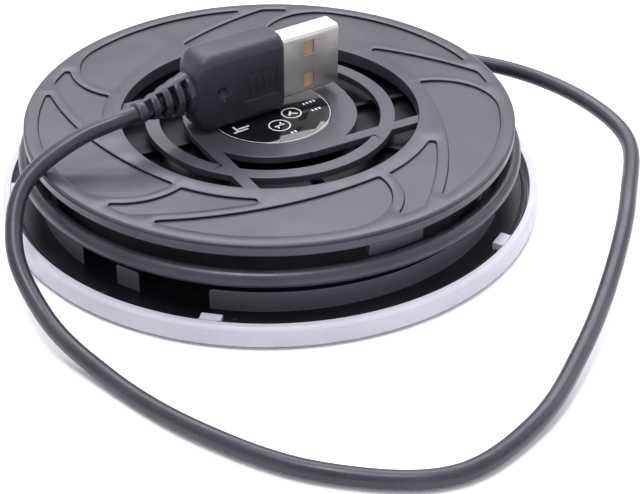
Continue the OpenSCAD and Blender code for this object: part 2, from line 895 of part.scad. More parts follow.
base_flange();
rating_label();
spool_shell();
trim_ring();
port_cover();
circuit_board();
port_shells();
port_tongues();
port_contacts();
hub_chip();
crystal();
capacitors();
power_led();
light_pipe();
flange_screws();
board_screws();
cord_grommet();
cord_clamp();
clamp_screws();
wound_cord();
cord_tail();
wire_leads();
wire_header();
cord_lead();
loose_cord();
cord_boot();
plug_overmold();
plug_shell();
plug_insulator();
plug_contacts();
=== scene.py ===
"""Looks for the round four-port USB hub with its cord spool, plug and loose cord.

Shape constants are in millimetres and MM turns them into the shared frame's metres. A pair of radii
is (inner, outer) and a pair of heights is (lower, upper), unless a comment says otherwise.
"""
import json
import math

import bmesh
import bpy
from mathutils import Matrix, Vector

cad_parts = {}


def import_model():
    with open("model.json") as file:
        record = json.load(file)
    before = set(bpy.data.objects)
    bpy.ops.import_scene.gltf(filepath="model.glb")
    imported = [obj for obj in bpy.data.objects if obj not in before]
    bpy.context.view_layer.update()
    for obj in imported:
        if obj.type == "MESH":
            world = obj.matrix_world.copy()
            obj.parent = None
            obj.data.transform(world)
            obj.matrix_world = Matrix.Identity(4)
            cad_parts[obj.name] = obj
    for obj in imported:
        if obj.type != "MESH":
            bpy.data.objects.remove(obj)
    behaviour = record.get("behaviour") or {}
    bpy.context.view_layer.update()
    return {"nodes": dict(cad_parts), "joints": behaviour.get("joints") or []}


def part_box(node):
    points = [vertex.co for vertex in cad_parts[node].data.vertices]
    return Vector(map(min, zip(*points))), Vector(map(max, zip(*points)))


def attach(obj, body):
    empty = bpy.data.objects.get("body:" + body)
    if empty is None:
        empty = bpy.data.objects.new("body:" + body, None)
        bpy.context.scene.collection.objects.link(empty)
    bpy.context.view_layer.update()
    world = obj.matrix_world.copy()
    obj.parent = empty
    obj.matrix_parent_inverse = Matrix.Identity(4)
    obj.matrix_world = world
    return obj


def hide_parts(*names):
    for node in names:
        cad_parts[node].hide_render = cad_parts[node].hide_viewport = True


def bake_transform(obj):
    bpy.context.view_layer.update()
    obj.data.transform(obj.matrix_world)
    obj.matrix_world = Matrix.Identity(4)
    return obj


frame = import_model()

MM = 0.001
TURN = 2 * math.pi
ORIGIN = Vector((0, 0))
UP = Vector((0, 0, 1))
NODES = frame["nodes"]
JOINTS = {joint["name"]: Vector(joint["pos_m"]) for joint in frame["joints"]}
SWING, LIFT, FLEX = (JOINTS[name] for name in ("cord_swing", "cord_lift", "plug_flex"))
FLANGE_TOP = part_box("base_flange")[1].z


# ---- node graphs ----

# The colour sockets of a Mix node, which share their names with its other modes' sockets.
MIX_SHARE, MIX_A, MIX_B, MIX_RESULT = 0, 6, 7, 2


class Graph:
    """A node tree built from nested calls, where a socket passed as an input becomes a link."""

    def __init__(self, tree):
        self.tree = tree
        tree.nodes.clear()

    def add(self, kind, inputs=None, output=0, **settings):
        node = self.tree.nodes.new(kind)
        for key, value in settings.items():
            setattr(node, key, value)
        for key, value in (inputs or {}).items():
            if isinstance(value, bpy.types.NodeSocket):
                self.tree.links.new(value, node.inputs[key])
            else:
                node.inputs[key].default_value = value
        return node.outputs[output]

    def end(self, kind, shader):
        """Ends the tree in an output node of this kind."""
        self.tree.links.new(shader, self.tree.nodes.new(kind).inputs["Surface"])

    def noise(self, where, scale, detail=2.0, rough=0.5):
        inputs = {"Vector": where, "Scale": scale, "Detail": detail, "Roughness": rough}
        return self.add("ShaderNodeTexNoise", inputs)

    def fade(self, value, low, high, to_low=0.0, to_high=1.0):
        inputs = {
            "Value": value, "From Min": low, "From Max": high, "To Min": to_low, "To Max": to_high,
        }
        return self.add("ShaderNodeMapRange", inputs)

    def math(self, operation, a, b):
        return self.add("ShaderNodeMath", {0: a, 1: b}, operation=operation)

    def mix(self, share, a, b):
        inputs = {MIX_SHARE: share, MIX_A: a, MIX_B: b}
        return self.add("ShaderNodeMix", inputs, MIX_RESULT, data_type="RGBA")

    def bump(self, height, strength, distance):
        inputs = {"Height": height, "Strength": strength, "Distance": distance}
        return self.add("ShaderNodeBump", inputs)


def rgb(red, green, blue):
    return (red, green, blue, 1.0)


def new_material(name):
    """New material, its graph, and the object's own coordinates for its patterns."""
    material = bpy.data.materials.new(name)
    material.use_nodes = True
    graph = Graph(material.node_tree)
    return material, graph, graph.add("ShaderNodeTexCoord", output="Object")


def surface(graph, **inputs):
    """Principled surface. An underscore in a keyword is a space in the input's name."""
    inputs = {key.replace("_", " "): value for key, value in inputs.items()}
    graph.end("ShaderNodeOutputMaterial", graph.add("ShaderNodeBsdfPrincipled", inputs))


# ---- materials ----

DUST_TONE = 2.2  # times the light tone
WORN_TONE = 0.72  # times the clean metal's colour


def moulded(name, dark, light, rough, grain=0.35, depth=0.012, gloss=0.5, tint=(1.0, 1.0, 1.0),
            dust=0.25):
    """Moulded plastic: a cloudy tone, grain of this size and depth with dust in it, and a roughness
    that wanders a little."""
    material, g, where = new_material(name)
    cloud = g.noise(where, scale=60, detail=3)
    speck = g.noise(where, scale=1 / (grain * MM), detail=3, rough=0.6)
    sheen = g.noise(where, scale=220)
    tone = g.mix(g.fade(cloud, low=0.35, high=0.65), rgb(*dark), rgb(*light))
    dusty = rgb(*[min(1, DUST_TONE * c) for c in light])
    surface(
        g,
        Base_Color=g.mix(g.fade(speck, low=0.58, high=0.78, to_high=dust), tone, dusty),
        Roughness=g.fade(sheen, low=0.3, high=0.7, to_low=rough - 0.05, to_high=rough + 0.06),
        Specular_IOR_Level=gloss,
        Specular_Tint=rgb(*tint),
        Normal=g.bump(speck, strength=0.5, distance=depth * MM),
    )
    return material


def metal(name, colour, rough, streak=(40, 40, 900)):
    """Plated or plain metal with fine drawn lines and faint stains."""
    material, g, where = new_material(name)
    along = g.add("ShaderNodeMapping", {"Vector": where, "Scale": streak})
    drawn = g.noise(along, scale=8, detail=4, rough=0.65)
    stain = g.fade(g.noise(where, scale=260, detail=3), low=0.45, high=0.75, to_high=0.5)
    worn = [WORN_TONE * c for c in colour]
    surface(
        g,
        Base_Color=g.mix(stain, rgb(*colour), rgb(*worn)),
        Metallic=1.0,
        Roughness=g.fade(drawn, low=0.3, high=0.7, to_low=rough - 0.06, to_high=rough + 0.08),
        Normal=g.bump(drawn, strength=0.06, distance=0.003 * MM),
    )
    return material


def board_mask(name):
    """Green solder mask with copper tracks that show through it."""
    material, g, where = new_material(name)
    pattern = {"Vector": where, "Scale": 260.0, "Distortion": 5.0, "Detail": 0.0}
    waves = g.add("ShaderNodeTexWave", pattern, output="Fac", bands_direction="DIAGONAL")
    track = g.fade(waves, low=0.80, high=0.86)
    surface(
        g,
        Base_Color=g.mix(track, rgb(0.006, 0.055, 0.02), rgb(0.02, 0.13, 0.045)),
        Roughness=0.28,
        Coat_Weight=0.4,
        Coat_Roughness=0.12,
        Normal=g.bump(track, strength=0.4, distance=0.03 * MM),
    )
    return material


# Bluish tint on the plastics' reflections. It is painted light colour that stands in for a bluish
# cast of the lamps.
COOL = (0.86, 0.86, 1.0)
MAT = {
    "plastic": moulded(
        "flange_plastic", (0.036, 0.035, 0.044), (0.050, 0.049, 0.061), 0.33, tint=COOL),
    "gloss": moulded(
        "shell_plastic", (0.007, 0.007, 0.010), (0.013, 0.013, 0.017), 0.34,
        grain=0.5, depth=0.004, gloss=0.3, tint=COOL),
    # Painted light: a lighter copy of the black plastic, given to outer wall faces that lie in
    # shade under the flange and cord.
    "wall": moulded(
        "wall_painted_light", (0.085, 0.083, 0.100), (0.110, 0.108, 0.130), 0.34, tint=COOL),
    # Painted shade: a near-black copy of the plastic, put on faces in recesses and gaps where shade
    # falls.
    "painted_shade": moulded(
        "painted_shade_plastic", (0.003, 0.003, 0.004), (0.005, 0.005, 0.007), 0.4,
        grain=0.5, depth=0.004, gloss=0.15, tint=COOL),
    "ring": moulded(
        "ring_plastic", (0.48, 0.47, 0.55), (0.54, 0.53, 0.61), 0.36, grain=0.4, depth=0.004),
    "cord": moulded(
        "cord_jacket", (0.018, 0.018, 0.024), (0.036, 0.036, 0.045), 0.34,
        grain=0.45, depth=0.05, tint=COOL, dust=0.7),
    "plug": moulded(
        "plug_grip", (0.010, 0.009, 0.014), (0.026, 0.025, 0.034), 0.40,
        grain=0.34, depth=0.22, tint=COOL, dust=1.0),
    "label": moulded(
        "label_film", (0.004, 0.004, 0.006), (0.007, 0.007, 0.009), 0.06, grain=0.5, depth=0.0),
    "ink": moulded(
        "label_ink", (0.62, 0.62, 0.64), (0.75, 0.75, 0.76), 0.5, grain=0.3, depth=0.0),
    "rubber": moulded(
        "grommet_rubber", (0.012, 0.012, 0.013), (0.022, 0.022, 0.022), 0.65,
        grain=0.2, depth=0.02),
    "white": moulded(
        "white_insulator", (0.72, 0.72, 0.69), (0.8, 0.8, 0.77), 0.4, grain=0.3, depth=0.004),
    "tan": moulded(
        "tan_insulator", (0.30, 0.21, 0.14), (0.52, 0.43, 0.33), 0.45, grain=0.3, depth=0.004),
    "chip": moulded(
        "chip_epoxy", (0.012, 0.012, 0.013), (0.02, 0.02, 0.021), 0.6, grain=0.12, depth=0.01),
    "guide": moulded(
        "light_guide", (0.55, 0.6, 0.62), (0.7, 0.74, 0.76), 0.12, grain=0.5, depth=0.0),
    "led": moulded(
        "led_lens", (0.75, 0.75, 0.55), (0.85, 0.85, 0.65), 0.15, grain=0.4, depth=0.0),
    "nickel": metal("nickel_shell", (0.74, 0.71, 0.68), 0.35, streak=(60, 60, 500)),
    "brass": metal("brass_edge", (0.80, 0.42, 0.16), 0.3),
    "gold": metal("contact_gold", (0.95, 0.68, 0.25), 0.22),
    "steel": metal("screw_steel", (0.52, 0.52, 0.54), 0.3),
    "can": metal("can_metal", (0.75, 0.75, 0.77), 0.22),
    "board": board_mask("board_green"),
}

# The CAD nodes that stay visible, and the radius that the moulded or folded ones' edges get.
NODE_MATERIAL = {
    "port_cover": "plastic", "circuit_board": "board", "port_shells": "nickel",
    "port_tongues": "white", "port_contacts": "gold", "hub_chip": "chip", "crystal": "can",
    "capacitors": "can", "power_led": "led", "light_pipe": "guide", "flange_screws": "steel",
    "board_screws": "steel", "cord_grommet": "rubber", "cord_clamp": "steel",
    "clamp_screws": "steel", "cord_tail": "cord", "wire_leads": "white", "wire_header": "white",
    "plug_insulator": "tan", "plug_contacts": "gold",
}
NODE_EDGE = {
    "port_cover": 0.2, "port_shells": 0.05, "port_tongues": 0.08, "hub_chip": 0.03,
    "wire_header": 0.08, "cord_clamp": 0.06, "plug_insulator": 0.1, "circuit_board": 0.05,
}


# ---- mesh tools ----

SHARP = math.radians(35)
WELD_GAP = 0.002


def smooth(mesh, angle=SHARP):
    """Smooth shading that keeps the edges past this angle sharp."""
    mesh.shade_smooth()
    mesh.set_sharp_from_angle(angle=angle)


def as_object(name, bm):
    mesh = bpy.data.meshes.new(name)
    bmesh.ops.recalc_face_normals(bm, faces=bm.faces)
    bm.to_mesh(mesh)
    bm.free()
    smooth(mesh)
    piece = bpy.data.objects.new(name, mesh)
    bpy.context.scene.collection.objects.link(piece)
    return piece


def dressed(piece, material):
    piece.data.materials.clear()
    piece.data.materials.append(MAT[material])
    return piece


def tint_faces(piece, material, chosen):
    """Gives another material to the faces that the test picks by centre (in millimetres) and
    normal."""
    piece.data.materials.append(MAT[material])
    index = len(piece.data.materials) - 1
    for face in piece.data.polygons:
        if chosen(face.center / MM, face.normal):
            face.material_index = index


def tint_band(piece, material, radii, heights, lean=math.inf):
    """Tints the faces between two radii and two heights whose normal rises by less than lean."""
    def chosen(at, out):
        inside = radii[0] <= at.xy.length < radii[1] and heights[0] < at.z < heights[1]
        return inside and abs(out.z) < lean

    tint_faces(piece, material, chosen)


def bake(piece):
    """Applies the piece's modifiers to its mesh."""
    shape = piece.evaluated_get(bpy.context.evaluated_depsgraph_get())
    mesh = bpy.data.meshes.new_from_object(shape)
    piece.modifiers.clear()
    piece.data = mesh


def combine(base, tool, operation, use_self=True, material_mode="INDEX"):
    """Joins a tool to the base, or cuts it out of it."""
    step = base.modifiers.new("combine", "BOOLEAN")
    step.operation = operation
    step.solver = "EXACT"
    step.use_self = use_self
    step.material_mode = material_mode
    step.object = tool
    bake(base)
    bpy.data.objects.remove(tool)
    smooth(base.data)


def weld(piece):
    piece.modifiers.new("weld", "WELD").merge_threshold = WELD_GAP * MM


def round_edges(piece, radius, segments, clamp=False):
    """Rounds the sharp edges, as a mould does."""
    weld(piece)
    bevel = piece.modifiers.new("edges", "BEVEL")
    bevel.width = radius * MM
    bevel.segments = segments
    bevel.angle_limit = SHARP
    bevel.use_clamp_overlap = clamp
    bevel.harden_normals = True
    return piece


def loop(bm, points):
    return [bm.verts.new(p) for p in points]


def bridge(bm, first, second):
    for k in range(len(first)):
        bm.faces.new((first[k - 1], first[k], second[k], second[k - 1]))


def fill(bm, loops):
    """Fills the flat face between an outer loop and the loops inside it."""
    edges = [bm.edges.get((ring[k - 1], ring[k])) for ring in loops for k in range(len(ring))]
    bmesh.ops.triangle_fill(bm, use_beauty=True, use_dissolve=False, edges=edges)


def flat(radius, degrees):
    angle = math.radians(degrees)
    return Vector((radius * math.cos(angle), radius * math.sin(angle)))


def polar(radius, angle, z):
    return Vector((radius * math.cos(angle), radius * math.sin(angle), z)) * MM


def circle(radius, z, sides):
    return [polar(radius, TURN * k / sides, z) for k in range(sides)]


def lathe(bm, profile, sides):
    """Solid of revolution from a closed profile of (radius, height)."""
    loops = []
    for radius, z in profile:
        if radius == 0:
            loops.append([bm.verts.new((0, 0, z * MM))])
        else:
            loops.append(loop(bm, circle(radius, z, sides)))
    for first, second in zip(loops, loops[1:] + loops[:1]):
        if len(first) == len(second) == 1:
            continue
        for k in range(sides):
            corners = [first[k - 1], first[k]] if len(first) > 1 else [first[0]]
            corners += [second[k], second[k - 1]] if len(second) > 1 else [second[0]]
            bm.faces.new(corners)


def prism(bm, outline, z0, z1):
    """Upright prism on an outline of (x, y)."""
    low = loop(bm, [Vector((x, y, z0)) * MM for x, y in outline])
    high = loop(bm, [Vector((x, y, z1)) * MM for x, y in outline])
    bridge(bm, low, high)
    bm.faces.new(list(reversed(low)))
    bm.faces.new(high)


def block(bm, x0, x1, y0, y1, z0, z1):
    prism(bm, [(x0, y0), (x1, y0), (x1, y1), (x0, y1)], z0, z1)


def post(bm, at, radius, sides, z0, z1):
    """Upright round post."""
    prism(bm, [at + flat(radius, 360 * k / sides) for k in range(sides)], z0, z1)


def ball(bm, at, radius, segments):
    verts = bmesh.ops.create_uvsphere(
        bm, u_segments=segments, v_segments=segments // 2, radius=radius * MM)["verts"]
    bmesh.ops.translate(bm, verts=verts, vec=Vector(at) * MM)


def turned(bm, angle, build, axis="Z"):
    """Builds a shape in bm, then turns it about an axis through the origin."""
    old = set(bm.verts)
    build()
    fresh = [v for v in bm.verts if v not in old]
    bmesh.ops.rotate(bm, verts=fresh, cent=(0, 0, 0), matrix=Matrix.Rotation(angle, 3, axis))


WALL_STEP = 0.9
CORNER_STEPS = 6


def curved_wall(bm, radii, heights, span, corner=0.0):
    """Part of a round wall between two angles in degrees, with round upper corners."""
    (r_in, r_out), (z0, z1) = radii, heights
    start, stop = (math.radians(a) for a in span)
    length = (stop - start) * r_out
    ends = [corner * (1 - math.cos(math.pi / 2 * k / CORNER_STEPS)) for k in range(CORNER_STEPS)]
    ends = ends if corner else []
    count = max(3, round(length / WALL_STEP))
    middle = [corner + (length - 2 * corner) * k / count for k in range(count + 1)]
    columns = []
    for s in ends + middle + [length - s for s in reversed(ends)]:
        edge = min(s, length - s)
        drop = 0
        if edge < corner:
            drop = corner - math.sqrt(max(0, corner ** 2 - (corner - edge) ** 2))
        turn = start + s / r_out
        columns.append(loop(bm, [
            polar(r_in, turn, z0), polar(r_out, turn, z0),
            polar(r_out, turn, z1 - drop), polar(r_in, turn, z1 - drop),
        ]))
    for first, second in zip(columns, columns[1:]):
        bridge(bm, first, second)
    bm.faces.new(columns[0])
    bm.faces.new(list(reversed(columns[-1])))


def loft(bm, sections):
    rings = [loop(bm, s) for s in sections]
    for first, second in zip(rings, rings[1:]):
        bridge(bm, first, second)
    bm.faces.new(list(reversed(rings[0])))
    bm.faces.new(rings[-1])


def finish_nodes():
    """Gives the visible CAD nodes their materials, and rounds their moulded edges."""
    for name, material in NODE_MATERIAL.items():
        node = NODES[name]
        node.data.materials.clear()
        node.data.materials.append(MAT[material])
        if name in NODE_EDGE:
            round_edges(node, NODE_EDGE[name], 2, clamp=True)
        else:
            weld(node)


finish_nodes()


# ---- spool flange ----

FLANGE_R = 44.5
FLANGE_Z = (14.9, 17.4)
FLANGE_EDGE = 0.16
RIM_SIDES = 360
# Bead and fine groove of the rim, as insets from its radius and drops from its top.
RIM_BEAD = ((0.52, 0), (0.3, 0.06), (0.11, 0.18), (0, 0.38), (0.26, 0.48), (0.26, 0.6), (0, 0.7))
RIM_CHAMFER = 0.35
POCKET_N = 5
POCKET_STEP = TURN / POCKET_N
POCKET_DEPTH = 0.45
POCKET_R = (30.3, 41.8)
POCKET_EDGE = ((0.18, 0), (0.08, 0.04), (0.02, 0.11), (0, 0.19))  # (outward, down) down the wall
SWEEP = (Vector((-39.0, -10.7)), 70.3)  # circle of a pocket's long side
LEAD_R = 10.75
RIB = 2.0
LARGE_TIP = 0.45
LARGE_TIP_AT = flat(POCKET_R[1], -47)  # rough places that choose between two circles' crossings
LARGE_TOP_AT = Vector((-3, 10))  # from the lead's centre
SMALL_TIPS = (2.2, 0.8, 0.5, 0.6)
SMALL_TIPS_AT = (flat(41.8, -52.4), flat(30.3, -15.2), flat(30.3, -48.05), flat(41.8, -61.1))
ARC_STEP = 0.7
TIP_STEP = 0.4
TIP_STEP_SHARE = 0.45  # of the tip's radius
GRILLE_R = 27.1
GRILLE_SIDES = 180
GRILLE_Z = (15.45, 16.8)
PLATE_R = 15.9
PLATE_SIDES = 160
BAR_R = (20.1, 22.8)
BAR_SIDES = 200
SPOKE_N = 4
SPOKE_ANGLE = math.radians(27.5)
SPOKE_OFFSET = 14.9
SPOKE_W = 2.4
SPOKE_REACH = 25.2
DRUM_R = (41.3, 42.7)
HANG_SPANS = ((292, 306.4), (327.2, 329.2))
HANG_BOTTOM = 11.6
THIRDS = (0, 120, 240)
SCREW_CIRCLE = 35.9
BOSS_R = 2.3
BOSS_SIDES = 24
BOSS_GAP = 0.02
FLOOR_TOP = 13.4
OVERLAP = 0.4  # how far added shapes reach into what they stand on


def crossing(first, second, hint):
    """Point where two circles cross, nearest to the hint."""
    (c1, r1), (c2, r2) = first, second
    d = (c2 - c1).length
    along = (r1 * r1 - r2 * r2 + d * d) / (2 * d)
    high = math.sqrt(max(0, r1 * r1 - along * along))
    axis = (c2 - c1) / d
    foot = c1 + along * axis
    side = Vector((-axis.y, axis.x)) * high
    return min((foot + side, foot - side), key=lambda p: (p - hint).length)


def heading(v):
    return math.atan2(v.y, v.x)


def arc_points(centre, radius, start, stop, step=ARC_STEP):
    count = max(2, math.ceil(abs(stop - start) * radius / step))
    turns = [start + (stop - start) * k / count for k in range(count)]
    return [centre + radius * Vector((math.cos(t), math.sin(t))) for t in turns]


def tip_points(centre, radius, leave, meet):
    """Counter-clockwise arc round a corner, between two directions from its centre."""
    start = heading(leave)
    sweep = (heading(meet) - start) % TURN
    if sweep >= math.pi * 1.5:  # a corner that isn't there
        return []
    step = min(TIP_STEP, radius * TIP_STEP_SHARE)
    return arc_points(centre, radius, start, start + sweep, step)


def large_pocket():
    """Fan blade that starts with a round lead and thins out to a tip along the rim."""
    centre, radius = SWEEP
    lead = Vector((POCKET_R[1] - LEAD_R, 0))
    inset_sweep = (centre, radius + LARGE_TIP)
    top = crossing((lead, LEAD_R - LARGE_TIP), inset_sweep, lead + LARGE_TOP_AT)
    tip = crossing((ORIGIN, POCKET_R[1] - LARGE_TIP), inset_sweep, LARGE_TIP_AT)
    out = arc_points(ORIGIN, POCKET_R[1], heading(tip), 0)
    out += arc_points(lead, LEAD_R, 0, heading(top - lead))
    out += tip_points(top, LARGE_TIP, top - lead, centre - top)
    out += arc_points(centre, radius, heading(top - centre), heading(tip - centre))
    return out + tip_points(tip, LARGE_TIP, centre - tip, tip)


def small_pocket():
    """What is left of the band between two large pockets, less a rib on each side."""
    centre, radius = SWEEP
    lead = Vector((math.cos(-POCKET_STEP), math.sin(-POCKET_STEP))) * (POCKET_R[1] - LEAD_R)
    # Counter-clockwise arcs, with 1 where the pocket is inside the circle and -1 where it isn't.
    arcs = [
        (ORIGIN, POCKET_R[1], 1), (centre, radius - RIB, 1),
        (ORIGIN, POCKET_R[0], -1), (lead, LEAD_R + RIB, -1),
    ]
    following = arcs[1:] + arcs[:1]
    corners = []
    for this, after, tip, hint in zip(arcs, following, SMALL_TIPS, SMALL_TIPS_AT):
        corners.append(crossing(*[(c, r - sense * tip) for c, r, sense in (this, after)], hint))
    outline = []
    for i, (at, reach, sense) in enumerate(arcs):
        start, stop = heading(corners[i - 1] - at), heading(corners[i] - at)
        sweep = sense * ((sense * (stop - start)) % TURN)
        outline += arc_points(at, reach, start, start + sweep)
        after_at, _, after_sense = following[i]
        leave, meet = sense * (corners[i] - at), after_sense * (corners[i] - after_at)
        outline += tip_points(corners[i], SMALL_TIPS[i], leave, meet)
    return outline


def grown(outline, amount):
    """The counter-clockwise outline, moved outward by the amount."""
    moved = []
    for i, at in enumerate(outline):
        along = (outline[(i + 1) % len(outline)] - outline[i - 1]).normalized()
        moved.append(at + amount * Vector((along.y, -along.x)))
    return moved


def flange_ring(bm):
    """Ring with a beaded rim and the swirl of shallow pockets in its upper face."""
    bottom, top = FLANGE_Z
    inner = [loop(bm, circle(GRILLE_R, z, GRILLE_SIDES)) for z in FLANGE_Z]
    bridge(bm, *inner)
    profile = [(FLANGE_R - inset, top - drop) for inset, drop in RIM_BEAD]
    profile += [(FLANGE_R, bottom + RIM_CHAMFER), (FLANGE_R - RIM_CHAMFER, bottom)]
    rim = [loop(bm, circle(r, z, RIM_SIDES)) for r, z in profile]
    for first, second in zip(rim, rim[1:]):
        bridge(bm, first, second)
    land = [inner[1], rim[0]]
    for k in range(POCKET_N):
        turn = Matrix.Rotation(POCKET_STEP * k, 2)
        for outline in (large_pocket(), small_pocket()):
            edge = [turn @ p for p in outline]
            wall = []
            for out, down in POCKET_EDGE + ((0, POCKET_DEPTH),):
                points = [Vector((p.x, p.y, top - down)) * MM for p in grown(edge, out)]
                wall.append(loop(bm, points))
            for above, below in zip(wall, wall[1:]):
                bridge(bm, above, below)
            bm.faces.new(wall[-1])
            land.append(wall[0])
    fill(bm, land)
    fill(bm, [inner[0], rim[-1]])


def grille(bm):
    low, high = GRILLE_Z
    lathe(bm, [(0, low), (PLATE_R, low), (PLATE_R, high), (0, high)], PLATE_SIDES)
    lathe(bm, [(BAR_R[0], low), (BAR_R[1], low), (BAR_R[1], high), (BAR_R[0], high)], BAR_SIDES)
    y0 = -SPOKE_OFFSET - SPOKE_W / 2
    for k in range(SPOKE_N):
        turned(bm, SPOKE_ANGLE + TURN * k / SPOKE_N,
               lambda: block(bm, 0, SPOKE_REACH, y0, y0 + SPOKE_W, low, high))


def flange():
    """Upper flange with its grille, its screw bosses and the short walls that hang from it."""
    root = FLANGE_Z[0] + OVERLAP
    bm = bmesh.new()
    flange_ring(bm)
    ring = as_object("spool_flange", bm)
    bm = bmesh.new()
    grille(bm)
    for third in THIRDS:
        for first, last in HANG_SPANS:
            curved_wall(bm, DRUM_R, (HANG_BOTTOM, root), (first + third, last + third))
    for k in range(POCKET_N):
        at = flat(SCREW_CIRCLE, 360 * k / POCKET_N)
        post(bm, at, BOSS_R, BOSS_SIDES, FLOOR_TOP + BOSS_GAP, root)
    combine(ring, as_object("flange_extras", bm), "UNION")
    dressed(round_edges(ring, FLANGE_EDGE, 3), "plastic")
    # Painted shade: the pockets' walls are near black.
    tint_band(ring, "painted_shade", radii=(0, 42), heights=(16.9, math.inf), lean=0.3)
    # Painted light: the hanging walls' outer faces, shaded by the flange, get the lighter copy.
    tint_band(ring, "wall", radii=(42, 43.5), heights=(0, FLANGE_Z[0]), lean=0.7)
    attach(ring, "hub")
    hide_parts("base_flange")


flange()


# ---- spool shell ----

SHELL_SIDES = 300
SHELL_EDGE = 0.12
LEDGE_R = 47.6
LEDGE_Z = (2.0, 3.0)
LEDGE_BEAD_R = (46.6, 46.9)
LEDGE_BEAD_H = 0.25
LEDGE_MARKS = (  # place, radius, sides and height of the round marks on the ledge
    (flat(44.8, 230), 2.1, 36, 0.15), (flat(44.6, 262), 0.7, 18, 0.12),
)
DRUM_TOP = 6.9
WALL_SPAN = (255.7, 340.6)
WALL_CORNER = 0.8
TAB_SPAN = (231.9, 238.4)
TAB_CORNER = 0.7
BRACE_R = (39.4, 41.4)
BRACE_DROP = 1.5  # below the drum's top
BRACE_SPANS = ((14, 15.4), (62, 63.4))  # from the start of each wall
TUB_R = (38.4, 39.6)
FLOOR_BOTTOM = 12.4
FLOOR_RIB_N = 8
FLOOR_RIB_TURN = 23
FLOOR_RIB_R = (15.9, 30.1)
FLOOR_RIB_W = 1.2
FLOOR_RIB_H = 1.1
FLOOR_POST_N = 4
FLOOR_POST_AT = (31, 10)  # radius, and the first one's angle in degrees
FLOOR_POST_Z = (11.52, FLOOR_TOP + 1.2)
LUG_ANGLE = math.radians(257.4)
LUG_W = 3.7
NOTCH_GAP = 0.2
NOTCH_R = (LEDGE_R - 2.1, LEDGE_R + 2)
NOTCH_Z = (1.5, 3.5)
CORD_DOOR_SPAN = (28, 45)
CORD_DOOR_BOTTOM = 8.6
CORD_DOOR_REACH = 0.5  # past the tub's wall on each side


def lugs(bm, radii, width, heights):
    """Blocks at the trim ring's lugs."""
    for k in range(POCKET_N):
        turned(bm, LUG_ANGLE + POCKET_STEP * k,
               lambda: block(bm, *radii, -width / 2, width / 2, *heights))


def shell_extras(bm):
    """Drum walls, snap tabs and braces, then what stands on the floor and the ledge."""
    ledge = LEDGE_Z[1]
    root = ledge - OVERLAP
    for third in THIRDS:
        first = WALL_SPAN[0] + third
        for span, corner in ((WALL_SPAN, WALL_CORNER), (TAB_SPAN, TAB_CORNER)):
            curved_wall(bm, DRUM_R, (root, DRUM_TOP), (span[0] + third, span[1] + third), corner)
        for start, stop in BRACE_SPANS:
            curved_wall(bm, BRACE_R, (root, DRUM_TOP - BRACE_DROP), (first + start, first + stop))
    for k in range(FLOOR_RIB_N):
        turned(bm, math.radians(FLOOR_RIB_TURN + 360 * k / FLOOR_RIB_N),
               lambda: block(bm, *FLOOR_RIB_R, -FLOOR_RIB_W / 2, FLOOR_RIB_W / 2,
                             FLOOR_TOP - OVERLAP, FLOOR_TOP + FLOOR_RIB_H))
    for at, radius, sides, height in LEDGE_MARKS:
        post(bm, at, radius, sides, root, ledge + height)
    radius, first = FLOOR_POST_AT
    for k in range(FLOOR_POST_N):
        post(bm, flat(radius, first + 360 * k / FLOOR_POST_N), BOSS_R, BOSS_SIDES, *FLOOR_POST_Z)


def shell():
    """Tub with its ledge, the broken drum wall that the cord is wound on, and the ribbed floor."""
    low, ledge = LEDGE_Z
    bead = ledge + LEDGE_BEAD_H
    bm = bmesh.new()
    lathe(bm, [
        (TUB_R[0], low), (LEDGE_R, low), (LEDGE_R, ledge), (LEDGE_BEAD_R[1], ledge),
        (LEDGE_BEAD_R[1], bead), (LEDGE_BEAD_R[0], bead), (LEDGE_BEAD_R[0], ledge),
        (TUB_R[1], ledge), (TUB_R[1], FLOOR_TOP), (0, FLOOR_TOP), (0, FLOOR_BOTTOM),
        (TUB_R[0], FLOOR_BOTTOM),
    ], SHELL_SIDES)
    body = as_object("spool_shell_body", bm)
    bm = bmesh.new()
    shell_extras(bm)
    combine(body, as_object("shell_extras", bm), "UNION")
    bm = bmesh.new()
    lugs(bm, NOTCH_R, LUG_W + 2 * NOTCH_GAP, NOTCH_Z)
    door_r = (TUB_R[0] - CORD_DOOR_REACH, TUB_R[1] + CORD_DOOR_REACH)
    curved_wall(bm, door_r, (CORD_DOOR_BOTTOM, FLOOR_BOTTOM), CORD_DOOR_SPAN)
    combine(body, as_object("shell_cuts", bm), "DIFFERENCE")
    dressed(round_edges(body, SHELL_EDGE, 2), "gloss")
    # Painted shade: the tub's floor and what stands on it under the grille are near black.
    tint_band(body, "painted_shade", radii=(0, 38.3), heights=(8, math.inf))
    # Painted shade: the tub's outer wall and the braces' inner faces, in the gap under the flange,
    # are near black.
    tint_band(body, "painted_shade", radii=(39, 40.2), heights=(3.2, math.inf), lean=0.7)
    # Painted light: the drum wall's outer faces get the lighter copy.
    tint_band(body, "wall", radii=(42.4, 43), heights=(0, 7), lean=0.7)
    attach(body, "hub")
    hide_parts("spool_shell")


shell()


# ---- trim ring ----

TRIM_PROFILE = (
    (47.9, 0.4), (49.1, 0.4), (49.5, 0.8), (49.5, 3.9), (49.0, 4.4), (47.9, 4.4),
    (47.9, 1.9), (45.4, 1.9), (45.4, 1.6), (47.9, 1.6),
)
TRIM_SIDES = 360
TRIM_EDGE = 0.16
LUG_R = (LEDGE_R - 1.8, 48.4)
LUG_Z = (1.8, 4.3)


def trim():
    """Pale outer ring with the lugs that hook over the ledge."""
    bm = bmesh.new()
    lathe(bm, TRIM_PROFILE, TRIM_SIDES)
    ring = as_object("outer_ring", bm)
    bm = bmesh.new()
    lugs(bm, LUG_R, LUG_W, LUG_Z)
    combine(ring, as_object("ring_lugs", bm), "UNION")
    dressed(round_edges(ring, TRIM_EDGE, 3), "ring")
    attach(ring, "hub")
    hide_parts("trim_ring")


trim()


# ---- label ----

LABEL_R = 11.4
LABEL_SIDES = 160
